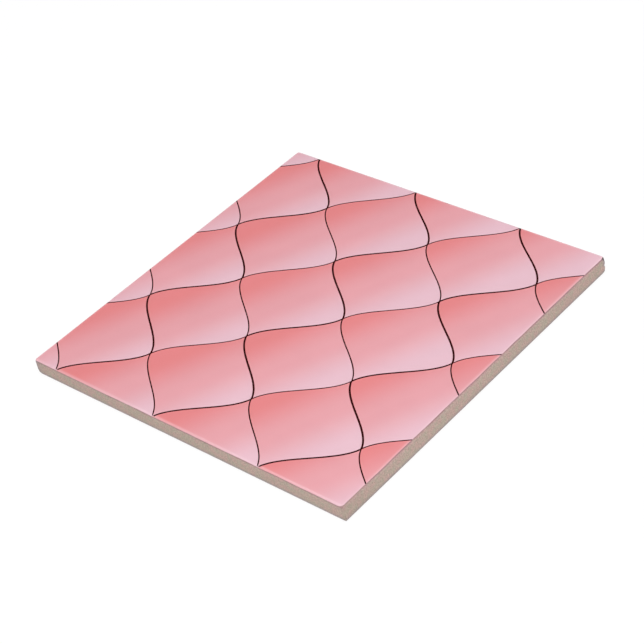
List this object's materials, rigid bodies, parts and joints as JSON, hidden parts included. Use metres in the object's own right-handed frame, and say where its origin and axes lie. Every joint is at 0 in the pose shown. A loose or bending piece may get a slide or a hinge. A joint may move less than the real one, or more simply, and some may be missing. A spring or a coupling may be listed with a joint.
{
  "type": "decorative ceramic tile",
  "caption": "Flat square glazed wall tile with a rolled face edge, bare upright sides and a keyed back for adhesive, faced with a printed pink lattice design.",
  "frame": {"origin": "centre of the back, on the plane of the ribs that the tile is bedded on", "axes": "+Z out of the glazed face, X and Y along the tile's sides"},
  "size_m": [0.152, 0.152, 0.0064],
  "materials": {
    "glazed_tile": "gloss glaze over a pink print, with bare taupe fired body on the sides and back"
  },
  "bodies": {
    "root": {"tile": "glazed_tile"}
  },
  "joints": []
}
